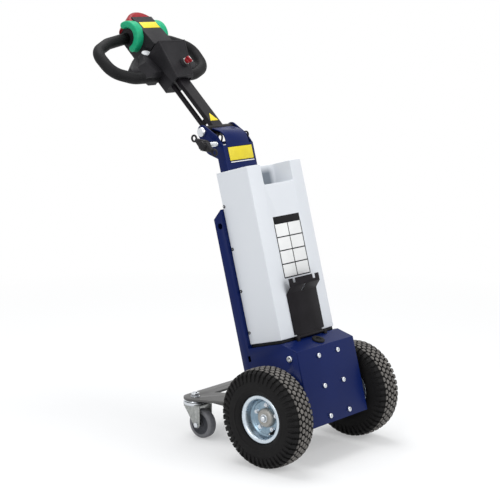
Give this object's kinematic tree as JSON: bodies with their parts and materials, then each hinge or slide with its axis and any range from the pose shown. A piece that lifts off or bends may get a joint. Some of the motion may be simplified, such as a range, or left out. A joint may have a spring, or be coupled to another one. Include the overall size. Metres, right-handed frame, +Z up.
{
  "type": "electric tow tractor",
  "caption": "Walk-behind electric tow tractor: two driven wheels under a leaning body with a battery case, a tail plate on swivel castors and a tilting tiller with a grip loop.",
  "frame": {"origin": "on the floor under the middle of the machine's length and width", "axes": "+Z up, -Y towards the driven wheels and the tow hitch, +Y towards the operator, +X to the operator's left"},
  "size_m": [0.445, 0.8064, 1.1313],
  "materials": {
    "blue_paint": "gloss powder coat, deep blue",
    "white_case": "satin powder coat, cool white",
    "black_coat": "gloss black coat",
    "black_moulding": "fine-grained black moulding",
    "grip_rubber": "soft grip coating",
    "black_rubber": "plain moulded rubber",
    "zinc_plate": "bright zinc plate",
    "zinc_rim": "zinc plated pressing",
    "hub_grey": "machined steel",
    "tyre_rubber": "worn tread rubber",
    "castor_rubber": "grey thermoplastic tread",
    "castor_core": "dark plastic hub",
    "tail_steel": "grey-brown coat",
    "cast_grey": "plain casting",
    "button_red": "glossy red moulding",
    "lever_green": "green moulding",
    "gauge_white": "clear white lens"
  },
  "bodies": {
    "frame": {"chassis": "blue_paint", "rear_cover": "blue_paint", "gearbox": "cast_grey", "drive_motor": "cast_grey", "battery_tray": "black_rubber", "battery_case": "white_case", "latch_hinge": "black_coat", "cable_grommet": "black_rubber", "hitch_bolts": "zinc_plate", "side_bolts": "zinc_plate", "column_head": "blue_paint", "pivot_bolt": "zinc_plate", "clamp_stud": "zinc_plate", "clamp_knob": "black_moulding", "tail_bracket": "blue_paint", "tail_plate": "tail_steel", "castor_mount_right": "zinc_plate", "castor_mount_left": "zinc_plate"},
    "latch": {"battery_latch": "black_coat"},
    "tiller": {"tiller_arm": "black_coat", "arm_conduit": "black_coat", "handle_clamp": "black_moulding", "grip_loop": "grip_rubber", "handle_housing": "black_moulding", "handle_cowl": "black_moulding", "belly_button": "button_red", "switch_console": "black_moulding", "key_switch": "button_red", "battery_gauge": "gauge_white", "throttle_right": "lever_green", "throttle_left": "lever_green"},
    "drive_wheel_right": {"tyre_right": "tyre_rubber", "rim_right": "zinc_rim", "hub_right": "hub_grey", "valve_right": "black_rubber"},
    "castor_fork_right": {"castor_fork_right": "zinc_plate"},
    "castor_wheel_right": {"castor_hub_right": "castor_core", "castor_tyre_right": "castor_rubber"},
    "drive_wheel_left": {"tyre_left": "tyre_rubber", "rim_left": "zinc_rim", "hub_left": "hub_grey", "valve_left": "black_rubber"},
    "castor_fork_left": {"castor_fork_left": "zinc_plate"},
    "castor_wheel_left": {"castor_hub_left": "castor_core", "castor_tyre_left": "castor_rubber"}
  },
  "joints": [
    {"name": "drive_spin_right", "type": "hinge", "parent": "frame", "child": "drive_wheel_right", "pos_m": [-0.1815, -0.27318, 0.13], "axis": [1, 0, 0], "continuous": true},
    {"name": "drive_spin_left", "type": "hinge", "parent": "frame", "child": "drive_wheel_left", "pos_m": [0.1815, -0.27318, 0.13], "axis": [1, 0, 0], "continuous": true},
    {"name": "castor_swivel_right", "type": "hinge", "parent": "frame", "child": "castor_fork_right", "pos_m": [-0.111, 0.04282, 0.09], "axis": [0, 0, 1], "continuous": true},
    {"name": "castor_roll_right", "type": "hinge", "parent": "castor_fork_right", "child": "castor_wheel_right", "pos_m": [-0.111, 0.01582, 0.04], "axis": [1, 0, 0], "continuous": true},
    {"name": "castor_swivel_left", "type": "hinge", "parent": "frame", "child": "castor_fork_left", "pos_m": [0.111, 0.04282, 0.09], "axis": [0, 0, 1], "continuous": true},
    {"name": "castor_roll_left", "type": "hinge", "parent": "castor_fork_left", "child": "castor_wheel_left", "pos_m": [0.111, 0.01582, 0.04], "axis": [1, 0, 0], "continuous": true},
    {"name": "tiller_tilt", "type": "hinge", "parent": "frame", "child": "tiller", "pos_m": [0, 0.05843, 0.82273], "axis": [1, 0, 0], "range_deg": [-32, 18]},
    {"name": "latch_tilt", "type": "hinge", "parent": "frame", "child": "latch", "pos_m": [0, -0.26774, 0.3129], "axis": [1, 0, 0], "range_deg": [0, 60]}
  ]
}
